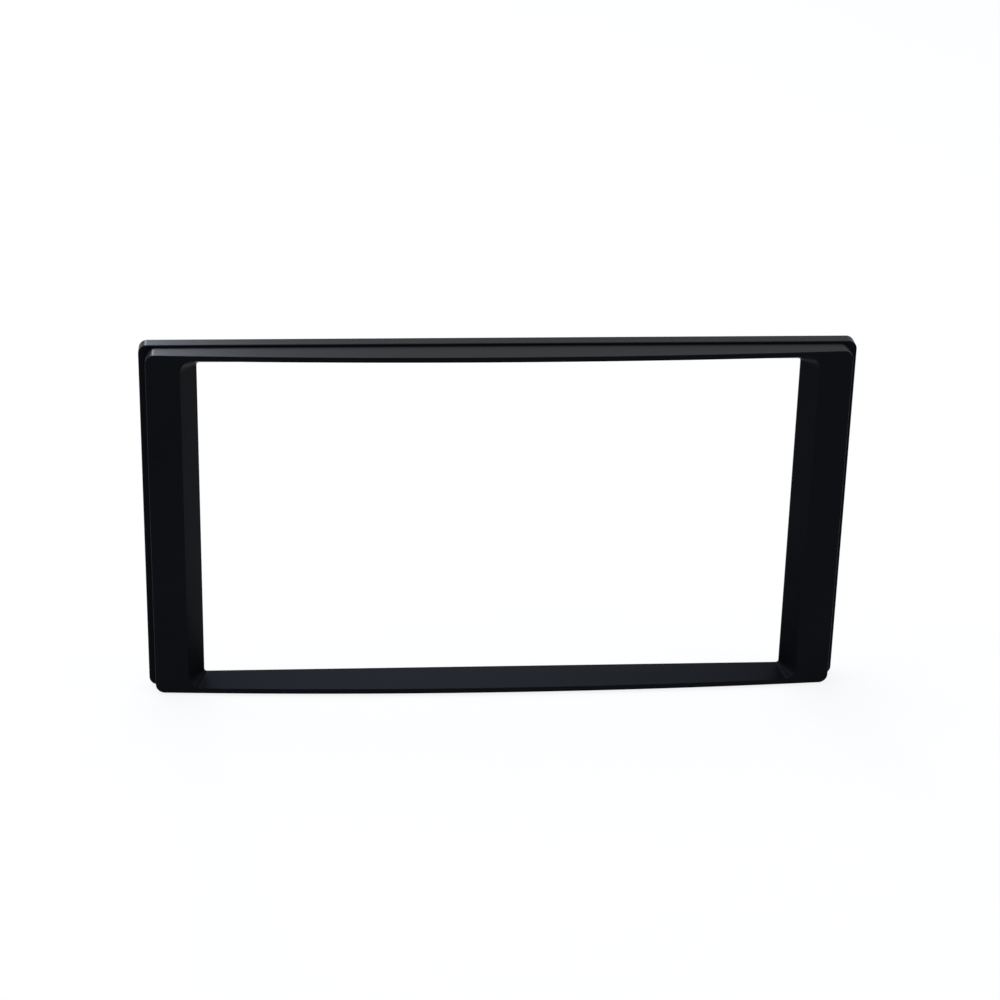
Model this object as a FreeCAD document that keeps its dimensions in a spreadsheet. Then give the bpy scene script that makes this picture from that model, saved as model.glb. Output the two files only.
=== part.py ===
import FreeCAD, Part
import math
import os

import Sketcher

# Radio mounting frame for a double-height dashboard slot, moulded in one piece.
# X runs across the frame, Y from its front to its back, Z up.
# The origin is the centre of the frame's own box. All sizes are in millimetres.

NODE = "radio_frame"

# Driving sizes: alias, size, what it measures
SIZES = (
    ("lip_width", 173.0, "radio opening, across"),
    ("lip_height", 99.0, "radio opening, up and down"),
    ("lip_corner", 0.8, "corner radius of the radio opening"),
    ("lip_setback", 5.2, "lip behind the ends of the front face"),
    ("lip_land", 0.6, "straight edge of the lip"),
    ("side_bevel", 4.6, "bevel of a side bar, seen from the front"),
    ("top_bevel", 2.65, "bevel of the top or bottom bar, seen from the front"),
    ("bevel_corner", 3.8, "corner radius where the bevel meets the front face"),
    ("side_face", 9.65, "front face of a side bar"),
    ("top_face", 1.5, "front face of the top or bottom bar"),
    ("body_depth", 6.2, "body ahead of the flange, at the ends of the front face"),
    ("body_corner", 2.6, "corner radius of the body"),
    ("bow_height", 3.35, "middle of the front face ahead of its ends"),
    ("flange_depth", 4.9, "depth of the flange"),
    ("flange_side", 2.15, "flange beyond the body at each side"),
    ("flange_top", 0.6, "flange beyond the body above and below"),
    ("flange_corner", 2.5, "corner radius of the flange"),
    ("cover_side", 2.5, "radio face hidden by the lip at each side"),
    ("cover_top", 1.5, "radio face hidden by the lip above and below"),
    ("radio_gap", 1.2, "gap all round the radio face"),
    ("pocket_corner", 1.0, "corner radius of the pocket for the radio face"),
    ("pocket_lead", 0.5, "lead-in at the back of that pocket"),
    ("wall", 1.8, "walls round the channel of a side bar"),
    ("channel_corner", 1.2, "corner radius of the channels"),
    ("rib_thickness", 1.2, "thickness of a rib"),
    ("rib_count", 6, "ribs in each side bar"),
    ("rib_setback", 0.8, "ribs ahead of the back of the flange"),
    ("face_round", 0.25, "rounding of the front face's outer edge"),
    ("bevel_round", 0.4, "rounding where the bevel meets the front face"),
    ("flange_round", 0.4, "rounding of the flange's outer edges"),
)

# Worked-out sizes: name, how it follows from the others
DERIVED = (
    ("lip_half_width", "Sizes.lip_width / 2"),
    ("lip_half_height", "Sizes.lip_height / 2"),
    ("bevel_half_width", "Derived.lip_half_width + Sizes.side_bevel"),
    ("body_half_width", "Derived.bevel_half_width + Sizes.side_face"),
    ("body_half_height", "Derived.lip_half_height + Sizes.top_bevel + Sizes.top_face"),
    ("flange_half_width", "Derived.body_half_width + Sizes.flange_side"),
    ("flange_half_height", "Derived.body_half_height + Sizes.flange_top"),
    ("end_depth", "Sizes.body_depth + Sizes.flange_depth"),
    ("full_depth", "Derived.end_depth + Sizes.bow_height"),
    ("half_depth", "Derived.full_depth / 2"),
    # The front face is part of a large cylinder that stands upright behind it
    ("bow_radius", "(Derived.body_half_width ^ 2 + Sizes.bow_height ^ 2) / (2 * Sizes.bow_height)"),
    ("bow_centre", "Derived.bow_radius - Derived.half_depth"),
    ("clear_front", "Sizes.bow_height"),
    ("blank_depth", "Derived.full_depth + Derived.clear_front"),
    ("trim_half_width", "Derived.body_half_width + Derived.clear_front"),
    # The bevel runs on past the front face, to an outline that stands clear of the bow
    ("bevel_run", "Sizes.lip_setback + Sizes.bow_height + Derived.clear_front"),
    ("bevel_at_middle", "Sizes.lip_setback + Sizes.bow_height"),
    ("bevel_at_ends", "Derived.bevel_at_middle - Sizes.bow_height"
        " * (Derived.bevel_half_width / Derived.body_half_width) ^ 2"),
    ("outline_middle", "Derived.lip_half_height"
        " + Sizes.top_bevel * Derived.bevel_run / Derived.bevel_at_middle"),
    ("outline_end", "Derived.lip_half_height"
        " + Sizes.top_bevel * Derived.bevel_run / Derived.bevel_at_ends"),
    ("outline_half_width", "Derived.lip_half_width"
        " + Sizes.side_bevel * Derived.bevel_run / Derived.bevel_at_ends"),
    ("outline_corner", "Sizes.lip_corner"
        " + (Sizes.bevel_corner - Sizes.lip_corner) * Derived.bevel_run / Derived.bevel_at_ends"),
    ("outline_sag", "Derived.outline_end - Derived.outline_middle"),
    ("outline_radius", "(Derived.outline_half_width ^ 2 + Derived.outline_sag ^ 2)"
        " / (2 * Derived.outline_sag)"),
    ("outline_centre", "Derived.outline_middle + Derived.outline_radius"),
    ("outline_ahead", "Derived.half_depth + Derived.clear_front"),
    ("trim_ahead", "Derived.outline_ahead + Derived.clear_front"),
    ("lip_ahead", "Derived.half_depth - Derived.bevel_at_middle"),
    # The back is hollowed: a pocket for the radio's face and a channel in each side bar
    ("pocket_half_width", "Derived.lip_half_width + Sizes.cover_side + Sizes.radio_gap"),
    ("pocket_half_height", "Derived.lip_half_height + Sizes.cover_top + Sizes.radio_gap"),
    ("pocket_depth", "Derived.end_depth - Sizes.lip_setback - Sizes.lip_land"),
    ("channel_inner", "Derived.pocket_half_width + Sizes.wall"),
    ("channel_outer", "Derived.body_half_width - Sizes.wall"),
    ("channel_half_height", "Derived.body_half_height - Sizes.wall"),
    ("channel_depth", "Derived.end_depth - Sizes.wall"),
    ("recess_outer", "Derived.flange_half_width - Sizes.wall"),
    ("recess_half_height", "Derived.flange_half_height - Sizes.wall"),
    ("recess_depth", "Sizes.flange_depth - Sizes.wall"),
    # Each rib is rooted in the walls and the floor that it crosses
    ("rib_root", "Sizes.wall / 3"),
    ("rib_inner", "Derived.channel_inner - Derived.rib_root"),
    ("rib_outer", "Derived.channel_outer + Derived.rib_root"),
    ("rib_shoulder", "Derived.recess_outer + Derived.rib_root"),
    ("rib_back", "Derived.half_depth - Sizes.rib_setback"),
    ("rib_step", "Derived.half_depth - Derived.recess_depth - Derived.rib_root"),
    ("rib_floor", "Derived.channel_depth + Derived.rib_root - Derived.half_depth"),
    ("rib_pitch", "2 * Derived.channel_half_height / (Sizes.rib_count + 1)"),
    ("rib_lowest", "Derived.channel_half_height - Derived.rib_pitch"),
)

# Points and axes of a sketch, as its constraints number them
START, END, CENTRE = range(1, 4)
LEVEL_AXIS, UPRIGHT_AXIS = range(-1, -3, -1)
ORIGIN = (LEVEL_AXIS, START)
# Difference below which two measurements are the same
CLOSE = 0.001


def make_sizes(doc):
    """Put the driving sizes in a sheet, and the sizes worked out from them beside it."""
    sheet = doc.addObject("Spreadsheet::Sheet", "Sizes")
    for row, (alias, size, meaning) in enumerate(SIZES, start=1):
        sheet.set("A%d" % row, meaning)
        sheet.set("B%d" % row, str(size))
        sheet.setAlias("B%d" % row, alias)
    derived = doc.addObject("App::VarSet", "Derived")
    for name, rule in DERIVED:
        derived.addProperty("App::PropertyFloat", name, "Worked out")
        derived.setExpression(name, rule)
    doc.recompute()


def place_of(doc, name):
    """Say where a size is kept, as an expression reads it."""
    return ("Derived." if hasattr(doc.Derived, name) else "Sizes.") + name


def number(doc, name):
    """Read the present value of a size."""
    holder = doc.Derived if hasattr(doc.Derived, name) else doc.Sizes
    return float(getattr(holder, name))


def new_sketch(body, name, role, sign=0, offset=None):
    """Start a sketch on an origin plane of the body, moved along that plane's normal."""
    sketch = body.newObject("Sketcher::SketchObject", name)
    planes = [item for item in body.Origin.OriginFeatures if item.Role == role]
    sketch.AttachmentSupport = (planes[0], "")
    sketch.MapMode = "FlatFace"
    if offset:
        rule = "%d * %s" % (sign, place_of(body.Document, offset))
        sketch.setExpression("AttachmentOffset.Base.z", rule)
    return sketch


def bind(sketch, kind, places, name):
    """Add one dimension to a sketch and tie it to a named size."""
    doc = sketch.Document
    index = sketch.addConstraint(Sketcher.Constraint(kind, *places, number(doc, name)))
    sketch.setExpression("Constraints[%d]" % index, place_of(doc, name))


def bind_point(sketch, kind, piece, point, sign, name):
    """Hold a point at a signed distance from the sketch's origin."""
    places = (*ORIGIN, piece, point) if sign > 0 else (piece, point, *ORIGIN)
    bind(sketch, kind, places, name)


def join_tangent(sketch, pieces):
    """Join a closed row of pieces. Each is (piece, its first point, its last point)."""
    for index, (piece, _, last) in enumerate(pieces):
        following, first, _ = pieces[(index + 1) % len(pieces)]
        sketch.addConstraint(Sketcher.Constraint("Tangent", piece, last, following, first))


def arc_between(centre, radius, begin, finish):
    """Make an arc about a centre, from one point to another, anticlockwise."""
    first = math.atan2(begin.y - centre.y, begin.x - centre.x)
    last = math.atan2(finish.y - centre.y, finish.x - centre.x)
    if last < first:
        last += 2 * math.pi
    circle = Part.Circle(centre, FreeCAD.Vector(0, 0, 1), radius)
    return Part.ArcOfCircle(circle, first, last)


def round_rectangle(sketch, left, right, half_height, corner):
    """Draw a rectangle with round corners, level with the origin. Left and right are
    each (sign, size name)."""
    doc = sketch.Document
    x_left = left[0] * number(doc, left[1])
    x_right = right[0] * number(doc, right[1])
    rise = number(doc, half_height)
    radius = number(doc, corner)
    arcs = []
    for x, z, turn in ((x_right, -rise, 3), (x_right, rise, 0), (x_left, rise, 1), (x_left, -rise, 2)):
        inward_x = math.copysign(radius, (x_left + x_right) / 2 - x)
        centre = FreeCAD.Vector(x + inward_x, z - math.copysign(radius, z), 0)
        circle = Part.Circle(centre, FreeCAD.Vector(0, 0, 1), radius)
        begin = turn * math.pi / 2
        arcs.append(Part.ArcOfCircle(circle, begin, begin + math.pi / 2))
    pieces = []
    for arc, following in zip(arcs, arcs[1:] + arcs[:1]):
        pieces.append(sketch.addGeometry(arc))
        pieces.append(sketch.addGeometry(Part.LineSegment(arc.EndPoint, following.StartPoint)))
    join_tangent(sketch, [(piece, START, END) for piece in pieces])
    for line in pieces[1::4]:
        sketch.addConstraint(Sketcher.Constraint("Vertical", line))
    for line in pieces[3::4]:
        sketch.addConstraint(Sketcher.Constraint("Horizontal", line))
    for arc in pieces[2::2]:
        sketch.addConstraint(Sketcher.Constraint("Equal", pieces[0], arc))
    bind(sketch, "Radius", (pieces[0],), corner)
    bind_point(sketch, "DistanceX", pieces[1], START, *right)
    bind_point(sketch, "DistanceX", pieces[5], START, *left)
    bind_point(sketch, "DistanceY", pieces[3], START, 1, half_height)
    bind_point(sketch, "DistanceY", pieces[7], START, -1, half_height)


def centred_rectangle(sketch, half_width, half_height, corner):
    """Draw a rectangle with round corners about the origin."""
    round_rectangle(sketch, (-1, half_width), (1, half_width), half_height, corner)


def waisted_rectangle(sketch, half_width, middle, radius, arc_centre, corner):
    """Draw a rectangle with round corners whose top and bottom are arcs that come
    nearest to each other in the middle."""
    doc = sketch.Document
    side = number(doc, half_width)
    big = number(doc, radius)
    small = number(doc, corner)
    big_height = number(doc, middle) + big
    reach = math.sqrt((big + small) ** 2 - (side - small) ** 2)
    small_height = big_height - reach
    touch_x = (side - small) * big / (big + small)
    touch_z = big_height - reach * big / (big + small)

    def point(x, z):
        return FreeCAD.Vector(x, z, 0)

    geometry = (
        arc_between(point(side - small, -small_height), small,
                    point(touch_x, -touch_z), point(side, -small_height)),
        Part.LineSegment(point(side, -small_height), point(side, small_height)),
        arc_between(point(side - small, small_height), small,
                    point(side, small_height), point(touch_x, touch_z)),
        arc_between(point(0, big_height), big, point(-touch_x, touch_z), point(touch_x, touch_z)),
        arc_between(point(small - side, small_height), small,
                    point(-touch_x, touch_z), point(-side, small_height)),
        Part.LineSegment(point(-side, small_height), point(-side, -small_height)),
        arc_between(point(small - side, -small_height), small,
                    point(-side, -small_height), point(-touch_x, -touch_z)),
        arc_between(point(0, -big_height), big, point(touch_x, -touch_z), point(-touch_x, -touch_z)),
    )
    pieces = [sketch.addGeometry(item) for item in geometry]
    right, top, left, bottom = pieces[1::2]
    hollow = (top, bottom)
    join_tangent(sketch, [
        (piece, END, START) if piece in hollow else (piece, START, END) for piece in pieces
    ])
    for line in (right, left):
        sketch.addConstraint(Sketcher.Constraint("Vertical", line))
    for arc, sign in ((top, 1), (bottom, -1)):
        sketch.addConstraint(Sketcher.Constraint("PointOnObject", arc, CENTRE, UPRIGHT_AXIS))
        bind_point(sketch, "DistanceY", arc, CENTRE, sign, arc_centre)
        bind(sketch, "Radius", (arc,), radius)
    for arc in pieces[2::2]:
        sketch.addConstraint(Sketcher.Constraint("Equal", pieces[0], arc))
    bind(sketch, "Radius", (pieces[0],), corner)
    bind_point(sketch, "DistanceX", right, START, 1, half_width)
    bind_point(sketch, "DistanceX", left, START, -1, half_width)


def stepped_outline(sketch, points):
    """Draw a closed outline of level and upright sides. Each point is two (sign, size name)."""
    doc = sketch.Document
    corners = [
        FreeCAD.Vector(across[0] * number(doc, across[1]), back[0] * number(doc, back[1]), 0)
        for across, back in points
    ]
    lines = [
        sketch.addGeometry(Part.LineSegment(corner, following))
        for corner, following in zip(corners, corners[1:] + corners[:1])
    ]
    for line, following in zip(lines, lines[1:] + lines[:1]):
        sketch.addConstraint(Sketcher.Constraint("Coincident", line, END, following, START))
    for line, point, following in zip(lines, points, points[1:] + points[:1]):
        level = point[1] == following[1]
        sketch.addConstraint(Sketcher.Constraint("Horizontal" if level else "Vertical", line))
        if level:
            bind_point(sketch, "DistanceY", line, START, *point[1])
        else:
            bind_point(sketch, "DistanceX", line, START, *point[0])


def settle(body, feature, grows):
    """Recompute, and see that the feature adds to the solid or takes from it."""
    before = 0.0 if feature.BaseFeature is None else feature.BaseFeature.Shape.Volume
    body.Document.recompute()
    change = feature.Shape.Volume - before
    if (change > 0) != grows or abs(change) < CLOSE:
        raise RuntimeError("%s changes the volume by %.3f" % (feature.Name, change))
    return feature


def add_pad(body, name, sketch, length, symmetric=False):
    """Pad a sketch along its normal, or to both sides of its plane."""
    pad = body.newObject("PartDesign::Pad", name)
    pad.Profile = sketch
    pad.SideType = "Symmetric" if symmetric else "One side"
    pad.setExpression("Length", place_of(body.Document, length))
    return settle(body, pad, True)


def add_pocket(body, name, sketch, depth=None, symmetric=False):
    """Cut a sketch along its normal to a depth, or right through."""
    pocket = body.newObject("PartDesign::Pocket", name)
    pocket.Profile = sketch
    pocket.Reversed = True
    pocket.SideType = "Symmetric" if symmetric else "One side"
    pocket.Type = "Length" if depth else "ThroughAll"
    if depth:
        pocket.setExpression("Length", place_of(body.Document, depth))
    return settle(body, pocket, False)


def add_edge_feature(body, kind, name, edges, size):
    """Round or chamfer edges of the present solid, which gives each edge a face."""
    base = body.Tip
    names = [
        "Edge%d" % index for index, edge in enumerate(base.Shape.Edges, start=1)
        if any(edge.isSame(wanted) for wanted in edges)
    ]
    feature = body.newObject("PartDesign::" + kind, name)
    feature.Base = (base, names)
    field = "Radius" if kind == "Fillet" else "Size"
    feature.setExpression(field, place_of(body.Document, size))
    body.Document.recompute()
    if len(feature.Shape.Faces) < len(base.Shape.Faces) + len(names):
        raise RuntimeError("%s leaves an edge as it was" % name)


def bowed_face(body):
    """Find the front face by the radius of its bow."""
    radius = number(body.Document, "bow_radius")
    return next(
        face for face in body.Tip.Shape.Faces
        if isinstance(face.Surface, Part.Cylinder) and abs(face.Surface.Radius - radius) < CLOSE)


def level_face(body, y):
    """Find the largest flat face that lies across the frame at a given depth."""
    faces = [
        face for face in body.Tip.Shape.Faces
        if isinstance(face.Surface, Part.Plane)
        and face.BoundBox.YLength < CLOSE and abs(face.BoundBox.YMin - y) < CLOSE
    ]
    return max(faces, key=lambda face: face.OuterWire.Length)


def inner_edges(face):
    """Give the edges of the holes in a face."""
    return [
        edge for wire in face.Wires if not wire.isSame(face.OuterWire) for edge in wire.Edges
    ]


def make_outside(body):
    """Body with its bowed front, and the flange behind it."""
    doc = body.Document
    sketch = new_sketch(body, "BodyOutline", "XZ_Plane", -1, "half_depth")
    centred_rectangle(sketch, "body_half_width", "body_half_height", "body_corner")
    add_pad(body, "Blank", sketch, "blank_depth")

    sketch = new_sketch(body, "BowProfile", "XY_Plane")
    radius = number(doc, "bow_radius")
    centre = FreeCAD.Vector(0, number(doc, "bow_centre"), 0)
    side = number(doc, "trim_half_width")
    front = -number(doc, "trim_ahead")
    end = centre.y - math.sqrt(radius ** 2 - side ** 2)
    right_end = FreeCAD.Vector(side, end, 0)
    left_end = FreeCAD.Vector(-side, end, 0)
    right_front = FreeCAD.Vector(side, front, 0)
    left_front = FreeCAD.Vector(-side, front, 0)
    bow = sketch.addGeometry(arc_between(centre, radius, left_end, right_end))
    right = sketch.addGeometry(Part.LineSegment(right_end, right_front))
    across = sketch.addGeometry(Part.LineSegment(right_front, left_front))
    left = sketch.addGeometry(Part.LineSegment(left_front, left_end))
    row = (bow, right, across, left)
    for piece, following in zip(row, row[1:] + row[:1]):
        sketch.addConstraint(Sketcher.Constraint("Coincident", piece, END, following, START))
    for line in (right, left):
        sketch.addConstraint(Sketcher.Constraint("Vertical", line))
    sketch.addConstraint(Sketcher.Constraint("Horizontal", across))
    sketch.addConstraint(Sketcher.Constraint("PointOnObject", bow, CENTRE, UPRIGHT_AXIS))
    bind_point(sketch, "DistanceY", bow, CENTRE, 1, "bow_centre")
    bind(sketch, "Radius", (bow,), "bow_radius")
    bind_point(sketch, "DistanceX", right, END, 1, "trim_half_width")
    bind_point(sketch, "DistanceX", left, END, -1, "trim_half_width")
    bind_point(sketch, "DistanceY", across, START, -1, "trim_ahead")
    add_pocket(body, "Bow", sketch, symmetric=True)

    sketch = new_sketch(body, "FlangeOutline", "XZ_Plane", -1, "half_depth")
    centred_rectangle(sketch, "flange_half_width", "flange_half_height", "flange_corner")
    add_pad(body, "Flange", sketch, "flange_depth")

    add_edge_feature(body, "Fillet", "FaceRound", bowed_face(body).OuterWire.Edges, "face_round")
    back = number(doc, "half_depth")
    flange_front = level_face(body, back - number(doc, "flange_depth"))
    flange_back = level_face(body, back)
    edges = flange_front.OuterWire.Edges + flange_back.OuterWire.Edges
    add_edge_feature(body, "Fillet", "FlangeRound", edges, "flange_round")


def make_opening(body):
    """Opening with its ruled bevel: straight at the lip, waisted ahead of the bow, so
    that the bars keep their width all along the bowed face."""
    outline = new_sketch(body, "BevelOutline", "XZ_Plane", 1, "outline_ahead")
    waisted_rectangle(outline, "outline_half_width", "outline_middle", "outline_radius",
                      "outline_centre", "outline_corner")
    lip = new_sketch(body, "LipOutline", "XZ_Plane", 1, "lip_ahead")
    centred_rectangle(lip, "lip_half_width", "lip_half_height", "lip_corner")
    bevel = body.newObject("PartDesign::SubtractiveLoft", "Bevel")
    bevel.Profile = outline
    bevel.Sections = [lip]
    bevel.Ruled = True
    settle(body, bevel, False)
    add_edge_feature(body, "Fillet", "BevelRound", inner_edges(bowed_face(body)), "bevel_round")

    through = new_sketch(body, "OpeningOutline", "XZ_Plane", -1, "half_depth")
    centred_rectangle(through, "lip_half_width", "lip_half_height", "lip_corner")
    add_pocket(body, "Opening", through)


def make_back(body):
    """Pocket for the radio's face, and the two channels with their ribs."""
    doc = body.Document
    sketch = new_sketch(body, "PocketOutline", "XZ_Plane", -1, "half_depth")
    centred_rectangle(sketch, "pocket_half_width", "pocket_half_height", "pocket_corner")
    add_pocket(body, "RadioPocket", sketch, "pocket_depth")
    mouth = inner_edges(level_face(body, number(doc, "half_depth")))
    add_edge_feature(body, "Chamfer", "PocketLead", mouth, "pocket_lead")

    hollows = (
        ("Channel", "channel_outer", "channel_half_height", "channel_depth"),
        ("Recess", "recess_outer", "recess_half_height", "recess_depth"),
    )
    for name, outer, half_height, depth in hollows:
        sketch = new_sketch(body, name + "Outline", "XZ_Plane", -1, "half_depth")
        round_rectangle(sketch, (1, "channel_inner"), (1, outer), half_height, "channel_corner")
        round_rectangle(sketch, (-1, outer), (-1, "channel_inner"), half_height, "channel_corner")
        add_pocket(body, name, sketch, depth)

    sketch = new_sketch(body, "RibProfile", "XY_Plane", -1, "rib_lowest")
    for sign in (1, -1):
        stepped_outline(sketch, [
            ((sign, "rib_inner"), (-1, "rib_floor")),
            ((sign, "rib_outer"), (-1, "rib_floor")),
            ((sign, "rib_outer"), (1, "rib_step")),
            ((sign, "rib_shoulder"), (1, "rib_step")),
            ((sign, "rib_shoulder"), (1, "rib_back")),
            ((sign, "rib_inner"), (1, "rib_back")),
        ])
    rib = add_pad(body, "Rib", sketch, "rib_thickness", symmetric=True)
    ribs = body.newObject("PartDesign::LinearPattern", "Ribs")
    ribs.Originals = [rib]
    ribs.Direction = (sketch, ["N_Axis"])
    ribs.Mode = "Spacing"
    ribs.setExpression("Offset", place_of(doc, "rib_pitch"))
    ribs.setExpression("Occurrences", place_of(doc, "rib_count"))
    body.Tip = ribs
    doc.recompute()


def check(doc, body):
    """See that nothing failed and that the frame is one sound solid."""
    for item in doc.Objects:
        if "Invalid" in item.State or "Error" in item.State:
            raise RuntimeError("%s did not recompute: %s" % (item.Name, item.State))
    shape = body.Shape
    if shape.isNull() or not shape.isValid() or len(shape.Solids) != 1:
        raise RuntimeError("the frame is not one sound solid")


doc = FreeCAD.newDocument("RadioFrame")
make_sizes(doc)
body = doc.addObject("PartDesign::Body", "Frame")
body.Label = NODE
make_outside(body)
make_opening(body)
make_back(body)
doc.recompute()
check(doc, body)
os.makedirs("parts", exist_ok=True)
body.Shape.exportStep("parts/%s.step" % NODE)
box = body.Shape.optimalBoundingBox(False, False)
print("%s: %.2f x %.2f x %.2f mm, %.2f cm3" % (
    NODE, box.XLength, box.YLength, box.ZLength, body.Shape.Volume / 1000))
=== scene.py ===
"""Looks of a moulded car radio mounting frame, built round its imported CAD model.

The frame is one moulding of black ABS: a bowed front face round the opening, a ruled bevel
that runs in to the lip, a stepped flange behind, and a ribbed channel in the back of each
side bar. Geometry nodes lead one section round the opening and cut the channels. Lengths are
in metres, in the model's own frame: X across, Y from front to back, Z up.
"""

import logging
import math
from dataclasses import dataclass
from enum import Enum
from functools import partial
from typing import Any, Mapping, Sequence

import bpy
from mathutils import Matrix, Vector


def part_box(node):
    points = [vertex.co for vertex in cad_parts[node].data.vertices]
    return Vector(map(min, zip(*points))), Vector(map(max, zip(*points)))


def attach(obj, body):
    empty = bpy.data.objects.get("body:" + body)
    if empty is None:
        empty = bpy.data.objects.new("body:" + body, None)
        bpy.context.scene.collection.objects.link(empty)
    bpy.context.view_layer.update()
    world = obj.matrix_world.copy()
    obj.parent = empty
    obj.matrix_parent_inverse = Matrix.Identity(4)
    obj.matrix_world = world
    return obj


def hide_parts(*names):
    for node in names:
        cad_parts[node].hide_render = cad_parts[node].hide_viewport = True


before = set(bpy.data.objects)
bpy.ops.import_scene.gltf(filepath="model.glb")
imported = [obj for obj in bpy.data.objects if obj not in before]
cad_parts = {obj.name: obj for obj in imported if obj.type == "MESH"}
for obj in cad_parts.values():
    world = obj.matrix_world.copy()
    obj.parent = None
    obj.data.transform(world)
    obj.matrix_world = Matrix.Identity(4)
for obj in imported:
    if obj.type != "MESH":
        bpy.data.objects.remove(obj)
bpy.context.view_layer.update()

MM = 0.001
NODE = "radio_frame"
BODY = "root"
QUARTER = math.pi / 2
QUARTERS = 4
# The curve from sRGB to linear is straight up to its knee, and a power beyond it
BYTE_TOP = 255
SRGB_KNEE = 0.04045
SRGB_SLOPE = 12.92
SRGB_OFFSET = 0.055
SRGB_POWER = 2.4
log = logging.getLogger("radio_frame_looks")


class Ray(Enum):
    """Kinds of ray that see the pale background, by the names of their sockets."""

    CAMERA = "Is Camera Ray"
    GLOSSY = "Is Glossy Ray"
    TRANSMISSION = "Is Transmission Ray"


class BarSide(Enum):
    """The two side bars, by the turn about Y that brings a right-hand hollow to each."""

    RIGHT = 0.0
    LEFT = math.pi


def linear(hex_colour: str) -> tuple[float, float, float, float]:
    """Turn an sRGB colour into linear values.

    Args:
        hex_colour: the colour as written, such as #1a1b1d.

    Returns:
        Red, green, blue and an alpha of one.
    """
    shares = [int(hex_colour[start:start + 2], 16) / BYTE_TOP for start in (1, 3, 5)]
    red, green, blue = (
        share / SRGB_SLOPE if share <= SRGB_KNEE
        else ((share + SRGB_OFFSET) / (1 + SRGB_OFFSET)) ** SRGB_POWER
        for share in shares
    )
    return red, green, blue, 1.0


def add_node(
    tree: bpy.types.NodeTree,
    kind: str,
    feeds: Sequence[Any] | Mapping[str, Any] = (),
    **settings: Any,
) -> bpy.types.Node:
    """Add a node to a tree, set it up and feed its inputs.

    Args:
        tree: the tree that takes the node.
        kind: the node's type.
        feeds: what each input gets, in order or by the input's name: a node (its first
            output), a socket, a list of either, a plain value, or None to leave it.
        settings: the node's own properties.

    Returns:
        The new node.
    """
    node = tree.nodes.new(kind)
    for name, value in settings.items():
        setattr(node, name, value)
    places = feeds.items() if isinstance(feeds, Mapping) else enumerate(feeds)
    for place, feed in places:
        for item in feed if isinstance(feed, list) else [feed]:
            source = item.outputs[0] if isinstance(item, bpy.types.Node) else item
            if isinstance(source, bpy.types.NodeSocket):
                tree.links.new(source, node.inputs[place])
            elif source is not None:
                node.inputs[place].default_value = source
    return node


@dataclass(frozen=True)
class Outline:
    """A rectangle with round corners, centred on the opening."""

    half_width: float
    half_height: float
    corner: float

    def grown(self, margin: float) -> "Outline":
        """Give the outline that lies a margin outside this one.

        Args:
            margin: the distance between the two, negative to lie inside.

        Returns:
            The other outline.
        """
        return Outline(self.half_width + margin, self.half_height + margin, self.corner + margin)


@dataclass(frozen=True)
class Loop:
    """One line of the section, which runs round the opening on an outline."""

    outline: Outline
    depth: float
    bowed: bool = False
    toward_lip: float = 0.0


@dataclass(frozen=True)
class MouldedAbs:
    """Black ABS, injection moulded in a finely spark-eroded tool.

    The tool's fine grain gives the eye a satin black: nearly no reflection face on, and a
    soft grey sheen where a surface is seen at a low angle.
    """

    name: str = "abs_moulded_satin_black"
    colour: str = "#08090b"
    worn_colour: str = "#0d0e11"
    roughness: float = 0.31
    roughness_spread: float = 0.03
    ior: float = 1.52
    specular: float = 0.033
    specular_tint: str = "#e1eeff"
    # Real grain is about 0.1 mm. It is drawn coarser, so that it shows at all.
    grain: float = 0.55 * MM
    grain_height: float = 0.012 * MM
    grain_strength: float = 0.35
    grain_octaves: float = 2.0
    grain_fine_share: float = 0.6
    cloud: float = 24 * MM
    cloud_octaves: float = 3.0
    cloud_fine_share: float = 0.55

    def make(self) -> bpy.types.Material:
        """Make the material.

        Returns:
            The finished material.
        """
        material = bpy.data.materials.new(self.name)
        material.use_nodes = True
        tree = material.node_tree
        shader = tree.nodes["Principled BSDF"]
        shader.inputs["IOR"].default_value = self.ior
        shader.inputs["Specular IOR Level"].default_value = self.specular
        shader.inputs["Specular Tint"].default_value = linear(self.specular_tint)
        place = add_node(tree, "ShaderNodeTexCoord").outputs["Object"]
        clouds = add_node(tree, "ShaderNodeTexNoise", {
            "Vector": place, "Scale": 1 / self.cloud, "Detail": self.cloud_octaves,
            "Roughness": self.cloud_fine_share,
        })
        colour = add_node(tree, "ShaderNodeValToRGB", {"Fac": clouds})
        colour.color_ramp.elements[0].color = linear(self.colour)
        colour.color_ramp.elements[1].color = linear(self.worn_colour)
        tree.links.new(colour.outputs["Color"], shader.inputs["Base Color"])
        sheen = add_node(tree, "ShaderNodeMapRange", {
            "Value": clouds,
            "To Min": self.roughness - self.roughness_spread,
            "To Max": self.roughness + self.roughness_spread,
        })
        tree.links.new(sheen.outputs["Result"], shader.inputs["Roughness"])
        grain = add_node(tree, "ShaderNodeTexNoise", {
            "Vector": place, "Scale": 1 / self.grain, "Detail": self.grain_octaves,
            "Roughness": self.grain_fine_share,
        })
        bump = add_node(tree, "ShaderNodeBump", {
            "Strength": self.grain_strength, "Distance": self.grain_height, "Height": grain,
        })
        tree.links.new(bump.outputs["Normal"], shader.inputs["Normal"])
        return material


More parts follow.
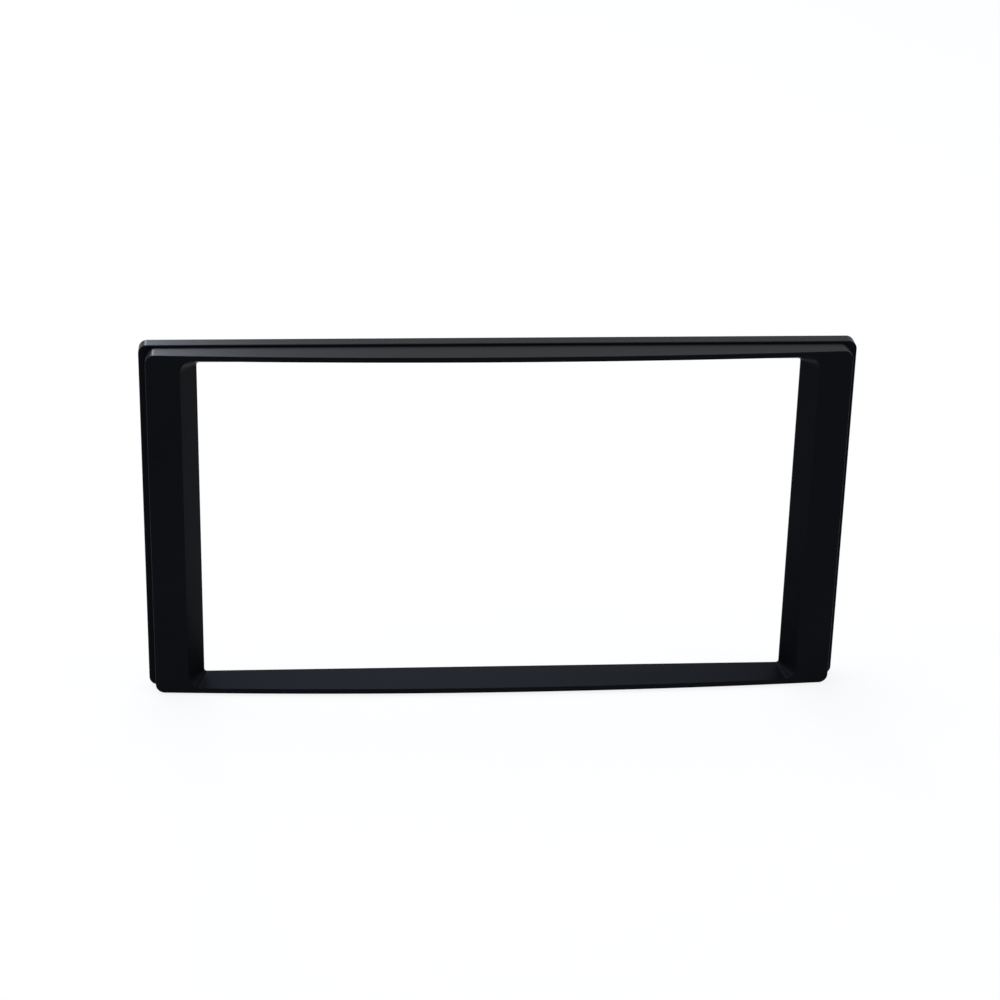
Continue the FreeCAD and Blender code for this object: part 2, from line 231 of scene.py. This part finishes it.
@dataclass(frozen=True)
class FrameShell:
    """The moulding itself, as one section led round the opening."""

    lip_width: float = 173.0 * MM
    lip_height: float = 99.0 * MM
    lip_corner: float = 0.8 * MM
    lip_setback: float = 5.2 * MM
    lip_land: float = 0.6 * MM
    lip_edge: float = 0.12 * MM
    side_bevel: float = 4.6 * MM
    top_bevel: float = 2.65 * MM
    bevel_corner: float = 3.8 * MM
    bevel_round: float = 0.26 * MM
    side_face: float = 9.65 * MM
    top_face: float = 1.5 * MM
    body_corner: float = 2.6 * MM
    bow_height: float = 3.35 * MM
    face_round: float = 0.25 * MM
    flange_depth: float = 4.9 * MM
    flange_corner: float = 2.5 * MM
    flange_round: float = 0.4 * MM
    cover_side: float = 2.5 * MM
    cover_top: float = 1.5 * MM
    radio_gap: float = 1.2 * MM
    pocket_corner: float = 1.0 * MM
    pocket_lead: float = 0.5 * MM
    wall: float = 1.8 * MM
    channel_corner: float = 1.2 * MM
    rib_thickness: float = 1.2 * MM
    rib_count: int = 6
    rib_setback: float = 0.8 * MM
    rib_root: float = 0.6 * MM
    round_steps: int = 5
    corner_steps: int = 12
    side_steps: int = 44
    proud: float = 1.0 * MM
    weld: float = 0.001 * MM
    sharp_angle: float = math.radians(32)

    @property
    def low(self) -> Vector:
        """Lowest corner of the solid's box."""
        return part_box(NODE)[0]

    @property
    def high(self) -> Vector:
        """Highest corner of the solid's box."""
        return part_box(NODE)[1]

    @property
    def lip(self) -> Outline:
        """Outline of the lip round the opening."""
        return Outline(self.lip_width / 2, self.lip_height / 2, self.lip_corner)

    @property
    def bevel(self) -> Outline:
        """Outline where the bevel meets the front face."""
        return Outline(
            self.lip.half_width + self.side_bevel,
            self.lip.half_height + self.top_bevel,
            self.bevel_corner)

    @property
    def body(self) -> Outline:
        """Outline of the body ahead of the flange."""
        return Outline(
            self.bevel.half_width + self.side_face,
            self.bevel.half_height + self.top_face,
            self.body_corner)

    @property
    def flange(self) -> Outline:
        """Outline of the flange, as wide and high as the solid's box."""
        return Outline(self.high.x, self.high.z, self.flange_corner)

    @property
    def pocket(self) -> Outline:
        """Outline of the pocket for the radio's face."""
        return Outline(
            self.lip.half_width + self.cover_side + self.radio_gap,
            self.lip.half_height + self.cover_top + self.radio_gap,
            self.pocket_corner)

    @property
    def face_end(self) -> float:
        """Depth of the front face at its two ends."""
        return self.low.y + self.bow_height

    @property
    def bow_radius(self) -> float:
        """Radius of the front face, from its rise over half its width."""
        return (self.body.half_width ** 2 + self.bow_height ** 2) / (2 * self.bow_height)

    @property
    def lip_front(self) -> float:
        """Depth of the lip's front edge."""
        return self.face_end + self.lip_setback

    @property
    def bevel_length(self) -> float:
        """Length of the side bevel's section, from the front face to the lip."""
        return math.hypot(self.side_bevel, self.lip_setback)

    def quarter_round(
        self, outline: Outline, depth: float, radius: float, turn: int, bowed: bool = False
    ) -> list[Loop]:
        """Round an outer edge of the section.

        Args:
            outline: the outline on which the sharp edge would lie.
            depth: the depth at which it would lie.
            radius: radius of the rounding.
            turn: 1 for an edge whose flat side faces the back, -1 for the front.
            bowed: whether the edge follows the bow.

        Returns:
            Loops from the flat side of the edge to its upright side.
        """
        loops = []
        for step in range(self.round_steps + 1):
            angle = QUARTER * step / self.round_steps
            inset = radius * (1 - math.sin(angle))
            back = depth - turn * radius * (1 - math.cos(angle))
            loops.append(Loop(outline.grown(-inset), back, bowed))
        return loops

    def bevel_edge(self) -> list[Loop]:
        """Round the edge between the front face and the bevel.

        Returns:
            Loops from the face to the bevel.
        """
        reach = self.bevel_round
        loops = []
        for step in range(self.round_steps + 1):
            share = step / self.round_steps
            outline = self.bevel.grown(reach * (1 - share) ** 2)
            toward_lip = reach * share ** 2 / self.bevel_length
            loops.append(Loop(outline, self.face_end, True, toward_lip))
        return loops

    def section(self) -> list[Loop]:
        """List the loops of the section, once round the bar.

        Returns:
            Loops from the back of the flange, over the front, to the mouth of the pocket.
        """
        back = self.high.y
        flange_front = back - self.flange_depth
        lip_back = self.lip_front + self.lip_land
        mouth = self.pocket.grown(self.pocket_lead)
        flange_edge = self.quarter_round(self.flange, flange_front, self.flange_round, -1)
        face_edge = self.quarter_round(self.body, self.face_end, self.face_round, -1, bowed=True)
        lip_share = 1 - self.lip_edge / self.bevel_length
        return [
            *self.quarter_round(self.flange, back, self.flange_round, 1),
            *reversed(flange_edge),
            Loop(self.body, flange_front),
            *reversed(face_edge),
            *self.bevel_edge(),
            Loop(self.bevel, self.face_end, True, lip_share),
            Loop(self.lip, self.lip_front + self.lip_edge),
            Loop(self.lip, lip_back),
            Loop(self.pocket, lip_back),
            Loop(self.pocket, back - self.pocket_lead),
            Loop(mouth, back),
        ]

    def section_mesh(self) -> bpy.types.Mesh:
        """Put the section in a mesh of loose points that carry its values.

        Returns:
            The mesh, with each loop's outline and its place as attributes.
        """
        loops = self.section()
        mesh = bpy.data.meshes.new("frame_section")
        mesh.from_pydata([(loop.outline.half_width, loop.depth, 0.0) for loop in loops], [], [])
        outlines = mesh.attributes.new("outline", "FLOAT_VECTOR", "POINT")
        places = mesh.attributes.new("place", "FLOAT_VECTOR", "POINT")
        for index, loop in enumerate(loops):
            outline = loop.outline
            outlines.data[index].vector = (
                outline.half_width, outline.half_height, outline.corner)
            places.data[index].vector = (loop.depth, float(loop.bowed), loop.toward_lip)
        return mesh

    def inputs(self) -> dict[str, float | int]:
        """List the sizes that the geometry nodes take.

        Returns:
            Each size, by the name of its input.
        """
        return {
            "Corner Steps": self.corner_steps,
            "Side Steps": self.side_steps,
            "Bow Radius": self.bow_radius,
            "Bow Height": self.bow_height,
            "Lip Half Width": self.lip.half_width,
            "Lip Half Height": self.lip.half_height,
            "Lip Corner": self.lip.corner,
            "Lip Front": self.lip_front,
            "Back": self.high.y,
            "Channel Inner": self.pocket.half_width + self.wall,
            "Channel Outer": self.body.half_width - self.wall,
            "Channel Half Height": self.body.half_height - self.wall,
            "Channel Depth": self.high.y - self.face_end - self.wall,
            "Recess Outer": self.flange.half_width - self.wall,
            "Recess Half Height": self.flange.half_height - self.wall,
            "Recess Depth": self.flange_depth - self.wall,
            "Channel Corner": self.channel_corner,
            "Rib Count": self.rib_count,
            "Rib Thickness": self.rib_thickness,
            "Rib Setback": self.rib_setback,
        }


class ShellTree:
    """Geometry nodes that lead the section round the opening and hollow the back."""

    def __init__(self, shell: FrameShell, material: bpy.types.Material) -> None:
        """Build the tree.

        Args:
            shell: the sizes of the moulding.
            material: the material that it gets.
        """
        self.shell = shell
        self.tree = bpy.data.node_groups.new("frame_shell", "GeometryNodeTree")
        self.identifiers: dict[str, str] = {}
        sockets = self.tree.interface
        sockets.new_socket("Geometry", in_out="OUTPUT", socket_type="NodeSocketGeometry")
        sockets.new_socket("Geometry", in_out="INPUT", socket_type="NodeSocketGeometry")
        for name, value in shell.inputs().items():
            kind = "NodeSocketInt" if isinstance(value, int) else "NodeSocketFloat"
            socket = sockets.new_socket(name, in_out="INPUT", socket_type=kind)
            self.identifiers[name] = socket.identifier
        self.size = add_node(self.tree, "NodeGroupInput").outputs
        self.finish(self.hollowed(self.ring()), material)

    def led_round(self, outline: Any, signs: Any, heading: Any) -> bpy.types.Node:
        """Place points on outlines, each at its share of the way round.

        Args:
            outline: half width, half height and corner radius, as one vector.
            signs: how far each point stands towards each corner's centre, from -1 to 1.
            heading: the direction from the corner's centre to the point.

        Returns:
            The node that gives the points, in the plane of the outline.
        """
        add = partial(add_node, self.tree)
        corner = add("ShaderNodeSeparateXYZ", [outline]).outputs["Z"]
        centres = add("ShaderNodeVectorMath", [outline, corner], operation="SUBTRACT")
        reach = add("ShaderNodeVectorMath", {"Vector": heading, "Scale": corner}, operation="SCALE")
        return add(
            "ShaderNodeVectorMath", [signs, centres, reach], operation="MULTIPLY_ADD")

    def ring(self) -> bpy.types.Node:
        """Lead the section round the opening.

        Returns:
            The node that gives the closed shell, with a solid back.
        """
        add = partial(add_node, self.tree)
        size = self.size
        section = size["Geometry"]
        loops = add("GeometryNodeAttributeDomainSize", [section]).outputs["Point Count"]
        quarter_steps = add(
            "FunctionNodeIntegerMath", [size["Corner Steps"], size["Side Steps"]],
            operation="ADD")
        steps = add(
            "FunctionNodeIntegerMath", [quarter_steps, QUARTERS], operation="MULTIPLY")
        rows = add("FunctionNodeIntegerMath", [steps, 1], operation="ADD")
        columns = add("FunctionNodeIntegerMath", [loops, 1], operation="ADD")
        grid = add("GeometryNodeMeshGrid", {"Vertices X": columns, "Vertices Y": rows})

        index = add("GeometryNodeInputIndex")
        column = add("FunctionNodeIntegerMath", [index, rows], operation="DIVIDE_FLOOR")
        loop = add("FunctionNodeIntegerMath", [column, loops], operation="MODULO")
        row = add("FunctionNodeIntegerMath", [index, rows], operation="MODULO")
        step = add("FunctionNodeIntegerMath", [row, steps], operation="MODULO")
        quarter = add("FunctionNodeIntegerMath", [step, quarter_steps], operation="DIVIDE_FLOOR")
        within = add("FunctionNodeIntegerMath", [step, quarter_steps], operation="MODULO")

        # First round the corner, then along the side to the next corner
        round_share = add(
            "ShaderNodeMath", [within, size["Corner Steps"]], operation="DIVIDE", use_clamp=True)
        past = add(
            "FunctionNodeIntegerMath", [within, size["Corner Steps"]], operation="SUBTRACT")
        side_share = add(
            "ShaderNodeMath", [past, size["Side Steps"]], operation="DIVIDE", use_clamp=True)
        turns = add("ShaderNodeMath", [quarter, round_share], operation="ADD")
        turn = add("ShaderNodeMath", [turns, QUARTER], operation="MULTIPLY")
        heading = add(
            "ShaderNodeVectorRotate", {"Vector": (1, 0, 0), "Angle": turn},
            rotation_type="Z_AXIS")
        corner_turn = add("ShaderNodeMath", [quarter, QUARTER], operation="MULTIPLY")
        corner = add(
            "ShaderNodeVectorRotate", {"Vector": (1, 1, 0), "Angle": corner_turn},
            rotation_type="Z_AXIS")
        following = add(
            "ShaderNodeVectorRotate", {"Vector": corner, "Angle": QUARTER},
            rotation_type="Z_AXIS")
        change = add("ShaderNodeVectorMath", [following, corner], operation="SUBTRACT")
        signs = add(
            "ShaderNodeVectorMath", [change, side_share, corner], operation="MULTIPLY_ADD")

        sampled = []
        for name in ("outline", "place"):
            named = add(
                "GeometryNodeInputNamedAttribute", {"Name": name}, data_type="FLOAT_VECTOR")
            sampled.append(add(
                "GeometryNodeSampleIndex",
                {"Geometry": section, "Value": named, "Index": loop},
                data_type="FLOAT_VECTOR"))
        outline, place = sampled
        depth, bowed, toward_lip = add("ShaderNodeSeparateXYZ", [place]).outputs
        across, rise, _ = add(
            "ShaderNodeSeparateXYZ", [self.led_round(outline, signs, heading)]).outputs

        # The face stands forward by the height of a circle's arc at that place
        radius_square = add(
            "ShaderNodeMath", [size["Bow Radius"], size["Bow Radius"]], operation="MULTIPLY")
        across_square = add("ShaderNodeMath", [across, across], operation="MULTIPLY")
        difference = add(
            "ShaderNodeMath", [radius_square, across_square], operation="SUBTRACT")
        height = add("ShaderNodeMath", [difference], operation="SQRT")
        chord = add(
            "ShaderNodeMath", [size["Bow Radius"], size["Bow Height"]], operation="SUBTRACT")
        forward = add("ShaderNodeMath", [height, chord], operation="SUBTRACT")
        standing = add("ShaderNodeMath", [forward, bowed], operation="MULTIPLY")
        behind = add("ShaderNodeMath", [depth, standing], operation="SUBTRACT")
        point = add("ShaderNodeCombineXYZ", [across, behind, rise])

        # Each line of the bevel lies its own share of the way to the lip
        lip_outline = add("ShaderNodeCombineXYZ", [
            size["Lip Half Width"], size["Lip Half Height"], size["Lip Corner"]])
        lip_across, lip_rise, _ = add(
            "ShaderNodeSeparateXYZ", [self.led_round(lip_outline, signs, heading)]).outputs
        lip_point = add("ShaderNodeCombineXYZ", [lip_across, size["Lip Front"], lip_rise])
        way = add("ShaderNodeVectorMath", [lip_point, point], operation="SUBTRACT")
        final = add("ShaderNodeVectorMath", [way, toward_lip, point], operation="MULTIPLY_ADD")

        shaped = add("GeometryNodeSetPosition", {"Geometry": grid, "Position": final})
        return add(
            "GeometryNodeMergeByDistance", {"Geometry": shaped, "Distance": self.shell.weld})

    def prism(self, outer: str, half_height: str, depth: str) -> bpy.types.Node:
        """Make the space that one step of a right-hand channel takes up.

        Args:
            outer: input that gives the place of its outer wall.
            half_height: input that gives its half height.
            depth: input that gives its depth from the back.

        Returns:
            The node that gives the closed space, which stands proud of the back.
        """
        add = partial(add_node, self.tree)
        size = self.size
        inner = size["Channel Inner"]
        width = add("ShaderNodeMath", [size[outer], inner], operation="SUBTRACT")
        height = add("ShaderNodeMath", [size[half_height], 2.0], operation="MULTIPLY")
        outline = add(
            "GeometryNodeCurvePrimitiveQuadrilateral", {"Width": width, "Height": height})
        rounded = add(
            "GeometryNodeFilletCurve",
            {"Curve": outline, "Radius": size["Channel Corner"],
             "Count": self.shell.round_steps},
            mode="POLY")
        floor = add("GeometryNodeFillCurve", [rounded], mode="NGONS")
        length = add("ShaderNodeMath", [size[depth], self.shell.proud], operation="ADD")
        raised = add(
            "GeometryNodeExtrudeMesh",
            {"Mesh": floor, "Offset Scale": length, "Individual": False}, mode="FACES")
        base = add("GeometryNodeFlipFaces", [floor])
        closed = add(
            "GeometryNodeMergeByDistance",
            {"Geometry": add("GeometryNodeJoinGeometry", [[raised, base]]),
             "Distance": self.shell.weld})
        total = add("ShaderNodeMath", [size[outer], inner], operation="ADD")
        middle = add("ShaderNodeMath", [total, 2.0], operation="DIVIDE")
        bottom = add("ShaderNodeMath", [size["Back"], size[depth]], operation="SUBTRACT")
        place = add("ShaderNodeCombineXYZ", [middle, bottom])
        return add("GeometryNodeTransform", {
            "Geometry": closed, "Translation": place, "Rotation": (-QUARTER, 0, 0)})

    def ribs(self) -> bpy.types.Node:
        """Repeat a rib up the right-hand channel.

        Returns:
            The node that gives the ribs, each a plate that reaches into the walls.
        """
        add = partial(add_node, self.tree)
        size = self.size
        root = self.shell.rib_root
        span = add(
            "ShaderNodeMath", [size["Recess Outer"], size["Channel Inner"]],
            operation="SUBTRACT")
        width = add("ShaderNodeMath", [span, 2 * root], operation="ADD")
        reach = add(
            "ShaderNodeMath", [size["Channel Depth"], size["Rib Setback"]],
            operation="SUBTRACT")
        depth = add("ShaderNodeMath", [reach, root], operation="ADD")
        plate_size = add("ShaderNodeCombineXYZ", [width, depth, size["Rib Thickness"]])
        plate = add("GeometryNodeMeshCube", {"Size": plate_size})
        total = add(
            "ShaderNodeMath", [size["Recess Outer"], size["Channel Inner"]], operation="ADD")
        middle = add("ShaderNodeMath", [total, 2.0], operation="DIVIDE")
        rib_back = add(
            "ShaderNodeMath", [size["Back"], size["Rib Setback"]], operation="SUBTRACT")
        half_depth = add("ShaderNodeMath", [depth, 2.0], operation="DIVIDE")
        behind = add("ShaderNodeMath", [rib_back, half_depth], operation="SUBTRACT")
        height = add("ShaderNodeMath", [size["Channel Half Height"], 2.0], operation="MULTIPLY")
        gaps = add("ShaderNodeMath", [size["Rib Count"], 1], operation="ADD")
        pitch = add("ShaderNodeMath", [height, gaps], operation="DIVIDE")
        lowest = add(
            "ShaderNodeMath", [pitch, size["Channel Half Height"]], operation="SUBTRACT")
        row = add("GeometryNodeMeshLine", {
            "Count": size["Rib Count"],
            "Start Location": add("ShaderNodeCombineXYZ", [middle, behind, lowest]),
            "Offset": add("ShaderNodeCombineXYZ", {"Z": pitch}),
        }, mode="OFFSET")
        placed = add("GeometryNodeInstanceOnPoints", {"Points": row, "Instance": plate})
        return add("GeometryNodeRealizeInstances", [placed])

    def hollowed(self, shell: bpy.types.Node) -> bpy.types.Node:
        """Cut a ribbed channel into the back of each side bar.

        Args:
            shell: the node that gives the closed shell.

        Returns:
            The node that gives the hollowed shell.
        """
        add = partial(add_node, self.tree)
        steps = [
            self.prism("Channel Outer", "Channel Half Height", "Channel Depth"),
            self.prism("Recess Outer", "Recess Half Height", "Recess Depth"),
        ]
        space = add(
            "GeometryNodeMeshBoolean", {"Mesh 2": steps}, operation="UNION", solver="EXACT")
        cells = add(
            "GeometryNodeMeshBoolean", {"Mesh 1": space, "Mesh 2": self.ribs()},
            operation="DIFFERENCE", solver="EXACT")
        sides = [
            add("GeometryNodeTransform", {"Geometry": cells, "Rotation": (0, side.value, 0)})
            for side in BarSide
        ]
        return add(
            "GeometryNodeMeshBoolean", {"Mesh 1": shell, "Mesh 2": sides},
            operation="DIFFERENCE", solver="EXACT")

    def finish(self, shape: bpy.types.Node, material: bpy.types.Material) -> None:
        """Smooth the rounds, keep the edges sharp, and end the tree.

        Args:
            shape: the node that gives the whole shape.
            material: the material that it gets.
        """
        add = partial(add_node, self.tree)
        smooth = add("GeometryNodeSetShadeSmooth", [shape])
        angle = add("GeometryNodeInputMeshEdgeAngle").outputs["Unsigned Angle"]
        sharp = add(
            "ShaderNodeMath", [angle, self.shell.sharp_angle], operation="GREATER_THAN")
        creased = add(
            "GeometryNodeSetShadeSmooth", [smooth, sharp, False], domain="EDGE")
        whole = add("GeometryNodeRealizeInstances", [creased])
        dressed = add("GeometryNodeSetMaterial", {"Geometry": whole, "Material": material})
        add("NodeGroupOutput", [dressed])

    def make(self) -> bpy.types.Object:
        """Run the tree on the section.

        Returns:
            The moulding, as a plain mesh whose object sits at the origin.
        """
        worker = bpy.data.objects.new("frame_worker", self.shell.section_mesh())
        bpy.context.scene.collection.objects.link(worker)
        modifier = worker.modifiers.new("shell", "NODES")
        modifier.node_group = self.tree
        for name, value in self.shell.inputs().items():
            modifier[self.identifiers[name]] = value
        worker.modifiers.new("even_normals", "WEIGHTED_NORMAL").keep_sharp = True
        graph = bpy.context.evaluated_depsgraph_get()
        mesh = bpy.data.meshes.new_from_object(worker.evaluated_get(graph), depsgraph=graph)
        worker.modifiers.clear()
        bpy.data.objects.remove(worker)
        mesh.name = "moulded_frame"
        piece = bpy.data.objects.new("moulded_frame", mesh)
        bpy.context.scene.collection.objects.link(piece)
        return piece


@dataclass(frozen=True)
class SoftBox:
    """A lamp behind a flat diffuser, which hangs round the object and is aimed at it."""

    name: str
    azimuth: float
    elevation: float
    distance: float
    width: float
    height: float
    power: float
    colour: str = "#e6eeff"

    @property
    def place(self) -> Vector:
        """Work out where the lamp hangs.

        Returns:
            Its place. Azimuth 0 is behind the object, and one to the right is positive.
        """
        level = math.cos(self.elevation)
        return self.distance * Vector((
            math.sin(self.azimuth) * level,
            math.cos(self.azimuth) * level,
            math.sin(self.elevation)))

    def make(self) -> bpy.types.Object:
        """Hang the lamp.

        Returns:
            The lamp.
        """
        lamp = bpy.data.lights.new(self.name, "AREA")
        lamp.shape = "RECTANGLE"
        lamp.size = self.width
        lamp.size_y = self.height
        lamp.energy = self.power
        lamp.color = linear(self.colour)[:3]
        lamp_object = bpy.data.objects.new(self.name, lamp)
        bpy.context.scene.collection.objects.link(lamp_object)
        aim = self.place.to_track_quat("Z", "Y")
        lamp_object.matrix_world = Matrix.LocRotScale(self.place, aim, None)
        return lamp_object


@dataclass(frozen=True)
class Studio:
    """White floor and surroundings, with soft light from above and from both sides."""

    floor_width: float = 6.0
    floor_colour: str = "#f2f2f2"
    floor_glow: float = 0.86
    world_light: float = 0.38
    lamps: tuple[SoftBox, ...] = (
        SoftBox(
            name="overhead", azimuth=math.radians(-26), elevation=math.radians(70),
            distance=1.2, width=1.0, height=0.7, power=11.5),
        SoftBox(
            name="window", azimuth=math.radians(-12), elevation=math.radians(22),
            distance=1.6, width=0.22, height=0.5, power=5.0),
        SoftBox(
            name="left", azimuth=math.radians(-100), elevation=math.radians(37),
            distance=1.3, width=0.6, height=0.6, power=4.6),
        SoftBox(
            name="right", azimuth=math.radians(106), elevation=math.radians(46),
            distance=1.3, width=0.6, height=0.6, power=4.0),
    )

    def background_seen(self, tree: bpy.types.NodeTree) -> bpy.types.Node:
        """Tell the rays that see the white background from those that light the object.

        Args:
            tree: the tree of the floor or of the world.

        Returns:
            The node that gives 1 for such rays and 0 for the rest.
        """
        rays = add_node(tree, "ShaderNodeLightPath").outputs
        seen = rays[Ray.CAMERA.value]
        for ray in (Ray.GLOSSY, Ray.TRANSMISSION):
            seen = add_node(
                tree, "ShaderNodeMath", [seen, rays[ray.value]], operation="ADD", use_clamp=True)
        return seen

    def build_world(self) -> None:
        """Make surroundings that look white and give a plain level of light."""
        world = bpy.data.worlds.new("white_room")
        world.use_nodes = True
        bpy.context.scene.world = world
        tree = world.node_tree
        background = tree.nodes["Background"]
        background.inputs["Color"].default_value = linear("#ffffff")
        strength = add_node(tree, "ShaderNodeMapRange", {
            "Value": self.background_seen(tree), "To Min": self.world_light, "To Max": 1.0})
        tree.links.new(strength.outputs["Result"], background.inputs["Strength"])

    def build_floor(self, height: float) -> bpy.types.Object:
        """Lay the floor, which looks white apart from the object's shadow.

        Args:
            height: the height of the floor.

        Returns:
            The floor.
        """
        half = self.floor_width / 2
        mesh = bpy.data.meshes.new("floor")
        corners = [(-half, -half), (half, -half), (half, half), (-half, half)]
        mesh.from_pydata([(x, y, height) for x, y in corners], [], [(0, 1, 2, 3)])
        floor = bpy.data.objects.new("floor", mesh)
        bpy.context.scene.collection.objects.link(floor)
        material = bpy.data.materials.new("paper_matt_white")
        material.use_nodes = True
        tree = material.node_tree
        tree.nodes.clear()
        paper = add_node(tree, "ShaderNodeBsdfDiffuse", {"Color": linear(self.floor_colour)})
        glow = add_node(tree, "ShaderNodeEmission", {"Color": linear("#ffffff")})
        unseen = add_node(tree, "ShaderNodeMath", [
            self.background_seen(tree), self.floor_glow], operation="MULTIPLY")
        mixed = add_node(tree, "ShaderNodeMixShader", [unseen, paper, glow])
        add_node(tree, "ShaderNodeOutputMaterial", [mixed])
        mesh.materials.append(material)
        return floor

    def build(self, height: float) -> None:
        """Set up the floor, the surroundings and the lamps.

        Args:
            height: the height of the floor.
        """
        self.build_world()
        self.build_floor(height)
        for lamp in self.lamps:
            lamp.make()


@dataclass(frozen=True)
class Viewpoint:
    """The camera: from the front, a little from its left and above.

    The focal length is given as a share of the sensor's width.
    """

    azimuth: float = math.radians(-4.88)
    elevation: float = math.radians(24.97)
    roll: float = math.radians(1.41)
    distance: float = 0.79972
    focal_share: float = 2.74581
    sensor: float = 36.0
    shift: tuple[float, float] = (0.00136, 0.0251)

    def build(self, target: Vector) -> bpy.types.Object:
        """Place the camera.

        Args:
            target: the point at which it looks.

        Returns:
            The camera.
        """
        camera = bpy.data.cameras.new("camera")
        camera.sensor_width = self.sensor
        camera.lens = self.focal_share * self.sensor
        camera.shift_x, camera.shift_y = self.shift
        back = Vector((
            math.sin(self.azimuth) * math.cos(self.elevation),
            -math.cos(self.azimuth) * math.cos(self.elevation),
            math.sin(self.elevation)))
        level = Vector((math.cos(self.azimuth), math.sin(self.azimuth), 0.0))
        right = math.cos(self.roll) * level + math.sin(self.roll) * back.cross(level)
        turn = Matrix((right, back.cross(right), back)).transposed()
        camera_object = bpy.data.objects.new("camera", camera)
        bpy.context.scene.collection.objects.link(camera_object)
        camera_object.matrix_world = Matrix.LocRotScale(target + back * self.distance, turn, None)
        bpy.context.scene.camera = camera_object
        return camera_object


def main() -> None:
    """Build the frame and the studio round it."""
    logging.basicConfig(level=logging.INFO, format="%(name)s: %(message)s")
    bpy.context.scene.view_settings.view_transform = "Standard"
    shell = FrameShell()
    piece = ShellTree(shell, MouldedAbs().make()).make()
    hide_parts(NODE)
    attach(piece, BODY)
    log.info("%s: %d faces", piece.name, len(piece.data.polygons))
    Studio().build(shell.low.z)
    Viewpoint().build(Vector((0.0, shell.face_end, 0.0)))


if __name__ == "__main__":
    main()
